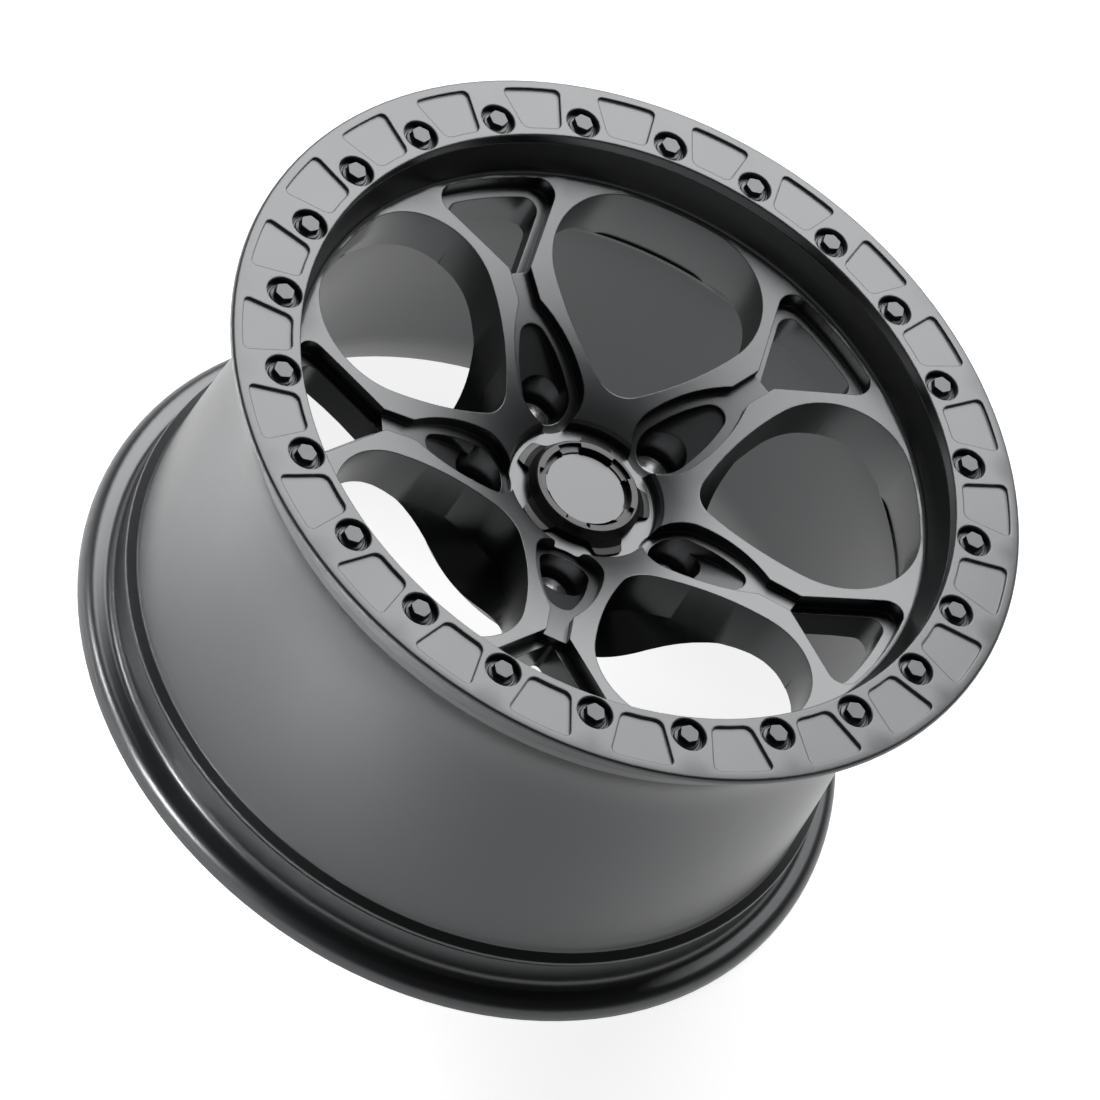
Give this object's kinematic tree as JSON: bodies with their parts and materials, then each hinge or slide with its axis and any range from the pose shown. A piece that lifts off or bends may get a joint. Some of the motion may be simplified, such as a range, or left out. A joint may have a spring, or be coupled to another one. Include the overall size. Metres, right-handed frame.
{
  "type": "off-road wheel",
  "caption": "Cast alloy off-road wheel: barrel and split spokes in one piece, a bead clamp ring held by flanged bolts, and a push-in centre cap; carries a tyre on a hub.",
  "frame": {"origin": "centre of the flat face that meets the hub, on the wheel's axis", "axes": "+Z along the wheel's axis towards its front, +X through the middle of one spoke and one lug hole"},
  "size_m": [0.4722, 0.4722, 0.2549],
  "materials": {
    "wheel_black": "satin",
    "ring_black": "satin",
    "cap_black": "satin",
    "cap_disc": "brushed",
    "spring_steel": "bright",
    "bolt_black": "satin",
    "washer_steel": "satin"
  },
  "bodies": {
    "root": {"wheel_body": "wheel_black", "clamp_ring": "ring_black", "cap_body": "cap_black", "cap_disc": "cap_disc", "cap_spring": "spring_steel", "ring_bolt_01": "bolt_black", "ring_bolt_02": "bolt_black", "ring_bolt_03": "bolt_black", "ring_bolt_04": "bolt_black", "ring_bolt_05": "bolt_black", "ring_bolt_06": "bolt_black", "ring_bolt_07": "bolt_black", "ring_bolt_08": "bolt_black", "ring_bolt_09": "bolt_black", "ring_bolt_10": "bolt_black", "ring_bolt_11": "bolt_black", "ring_bolt_12": "bolt_black", "ring_bolt_13": "bolt_black", "ring_bolt_14": "bolt_black", "ring_bolt_15": "bolt_black", "ring_bolt_16": "bolt_black", "ring_bolt_17": "bolt_black", "ring_bolt_18": "bolt_black", "ring_bolt_19": "bolt_black", "ring_bolt_20": "bolt_black", "ring_bolt_21": "bolt_black", "ring_bolt_22": "bolt_black", "ring_bolt_23": "bolt_black", "ring_bolt_24": "bolt_black", "ring_washer_01": "washer_steel", "ring_washer_02": "washer_steel", "ring_washer_03": "washer_steel", "ring_washer_04": "washer_steel", "ring_washer_05": "washer_steel", "ring_washer_06": "washer_steel", "ring_washer_07": "washer_steel", "ring_washer_08": "washer_steel", "ring_washer_09": "washer_steel", "ring_washer_10": "washer_steel", "ring_washer_11": "washer_steel", "ring_washer_12": "washer_steel", "ring_washer_13": "washer_steel", "ring_washer_14": "washer_steel", "ring_washer_15": "washer_steel", "ring_washer_16": "washer_steel", "ring_washer_17": "washer_steel", "ring_washer_18": "washer_steel", "ring_washer_19": "washer_steel", "ring_washer_20": "washer_steel", "ring_washer_21": "washer_steel", "ring_washer_22": "washer_steel", "ring_washer_23": "washer_steel", "ring_washer_24": "washer_steel"}
  },
  "joints": []
}
